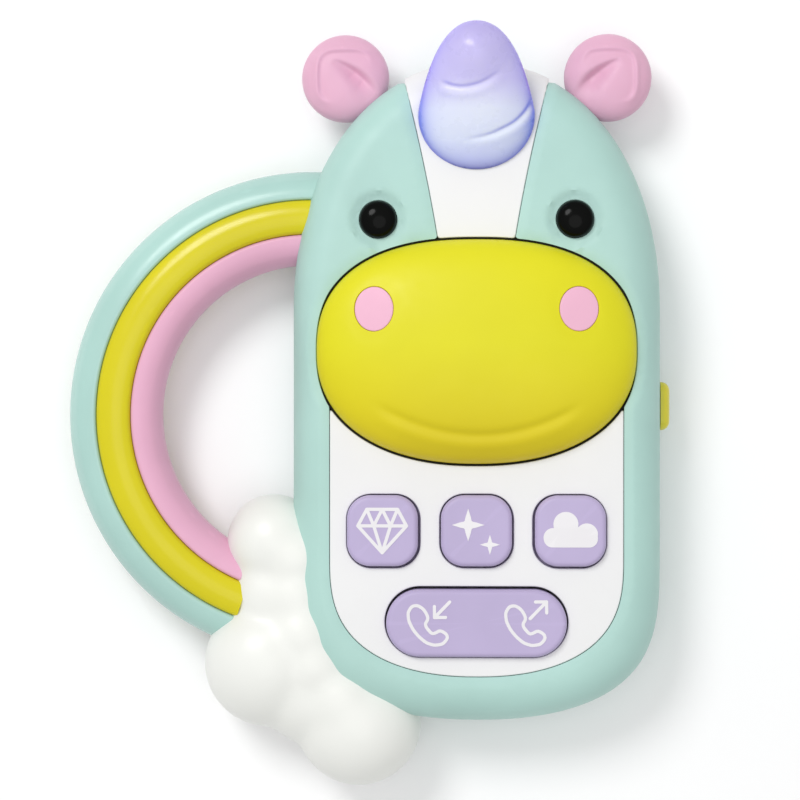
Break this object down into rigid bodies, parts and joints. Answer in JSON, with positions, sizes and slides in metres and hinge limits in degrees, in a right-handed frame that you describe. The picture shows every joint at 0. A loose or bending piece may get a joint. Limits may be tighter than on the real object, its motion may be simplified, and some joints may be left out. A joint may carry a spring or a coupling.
{
  "type": "toy cell phone",
  "caption": "Baby's toy cell phone with a unicorn face: a dome snout button, picture keys, a ridged horn, round ears, a striped ring grip on one side and a cloud foot.",
  "frame": {"origin": "on the flat back, under the middle of the handset's width and near the middle of its height", "axes": "+Z out of the face, +Y from the chin towards the horn, +X to the right of the face as it is looked at"},
  "size_m": [0.1506, 0.1881, 0.0412],
  "materials": {
    "mint_shell": "satin moulded ABS",
    "white_plate": "satin moulded ABS",
    "snout_yellow": "satin moulded ABS",
    "seal_black": "matt",
    "horn_lilac": "glossy translucent moulding",
    "ear_pink": "satin moulding",
    "nostril_pink": "satin moulding",
    "eye_black": "polished",
    "grip_mint": "soft satin",
    "grip_yellow": "soft satin",
    "grip_pink": "soft satin",
    "cloud_white": "satin moulding",
    "key_lilac": "satin",
    "switch_yellow": "satin",
    "silicone_grey": "matt",
    "board_green": "solder mask",
    "chip_black": "moulded epoxy",
    "steel": "zinc plated",
    "spring_steel": "nickel plated",
    "speaker_frame": "pressed steel",
    "speaker_cone": "coated film",
    "led_clear": "clear epoxy",
    "cell_wrap": "printed wrap",
    "wire_red": "insulation",
    "wire_black": "insulation"
  },
  "bodies": {
    "case": {"front_cover": "mint_shell", "back_cover": "mint_shell", "face_plate": "white_plate", "snout_seal": "seal_black", "horn": "horn_lilac", "left_eye": "eye_black", "left_ear": "ear_pink", "right_eye": "eye_black", "right_ear": "ear_pink", "grip_outer_band": "grip_mint", "grip_middle_band": "grip_yellow", "grip_inner_band": "grip_pink", "cloud_front": "cloud_white", "cloud_back": "cloud_white", "gem_key_dome": "silicone_grey", "sparkle_key_dome": "silicone_grey", "cloud_key_dome": "silicone_grey", "call_key_dome_left": "silicone_grey", "call_key_dome_right": "silicone_grey", "keypad_membrane": "silicone_grey", "circuit_board": "board_green", "sound_chip": "chip_black", "snout_switch": "chip_black", "snout_spring_left": "spring_steel", "snout_spring_right": "spring_steel", "speaker_driver": "speaker_frame", "speaker_cone": "speaker_cone", "horn_led_board": "board_green", "horn_led": "led_clear", "power_switch": "steel", "battery_upper": "cell_wrap", "battery_lower": "cell_wrap", "battery_contact_positive": "steel", "battery_contact_negative": "steel", "battery_bridge": "steel", "battery_spring_upper": "spring_steel", "battery_spring_lower": "spring_steel", "speaker_lead_red": "wire_red", "speaker_lead_black": "wire_black", "led_lead_red": "wire_red", "led_lead_black": "wire_black", "case_screw_1": "steel", "case_screw_2": "steel", "case_screw_3": "steel", "case_screw_4": "steel", "case_screw_5": "steel", "case_screw_6": "steel"},
    "snout": {"snout_button": "snout_yellow", "left_nostril": "nostril_pink", "right_nostril": "nostril_pink"},
    "gem_key": {"gem_key": "key_lilac"},
    "sparkle_key": {"sparkle_key": "key_lilac"},
    "cloud_key": {"cloud_key": "key_lilac"},
    "call_key": {"call_key": "key_lilac"},
    "power_knob": {"switch_knob": "switch_yellow", "switch_slider": "chip_black"},
    "battery_door": {"battery_door": "mint_shell"},
    "battery_door_screw": {"battery_door_screw": "steel"}
  },
  "joints": [
    {"name": "snout_press", "type": "slide", "parent": "case", "child": "snout", "axis": [0, 0, -1], "range_m": [0, 0.0015], "stiffness_N_per_m": 400, "springref_m": -0.003, "deforming": ["snout_spring_left", "snout_spring_right"]},
    {"name": "gem_key_press", "type": "slide", "parent": "case", "child": "gem_key", "axis": [0, 0, -1], "range_m": [0, 0.0012], "stiffness_N_per_m": 300, "springref_m": -0.002, "deforming": ["gem_key_dome"]},
    {"name": "sparkle_key_press", "type": "slide", "parent": "case", "child": "sparkle_key", "axis": [0, 0, -1], "range_m": [0, 0.0012], "stiffness_N_per_m": 300, "springref_m": -0.002, "deforming": ["sparkle_key_dome"]},
    {"name": "cloud_key_press", "type": "slide", "parent": "case", "child": "cloud_key", "axis": [0, 0, -1], "range_m": [0, 0.0012], "stiffness_N_per_m": 300, "springref_m": -0.002, "deforming": ["cloud_key_dome"]},
    {"name": "call_key_rock", "type": "hinge", "parent": "case", "child": "call_key", "pos_m": [0, -0.0562, 0.0219], "axis": [0, 1, 0], "range_deg": [-2.5, 2.5], "stiffness_Nm_per_rad": 0.08, "deforming": ["call_key_dome_left", "call_key_dome_right"]},
    {"name": "power_knob_slide", "type": "slide", "parent": "case", "child": "power_knob", "axis": [0, 1, 0], "range_m": [-0.002, 0.002]},
    {"name": "battery_door_hinge", "type": "hinge", "parent": "case", "child": "battery_door", "pos_m": [0, -0.0356, 0.0003], "axis": [-1, 0, 0], "range_deg": [0, 80]},
    {"name": "battery_screw_turn", "type": "hinge", "parent": "battery_door", "child": "battery_door_screw", "pos_m": [0, -0.008, 0.0005], "axis": [0, 0, 1], "continuous": true}
  ]
}
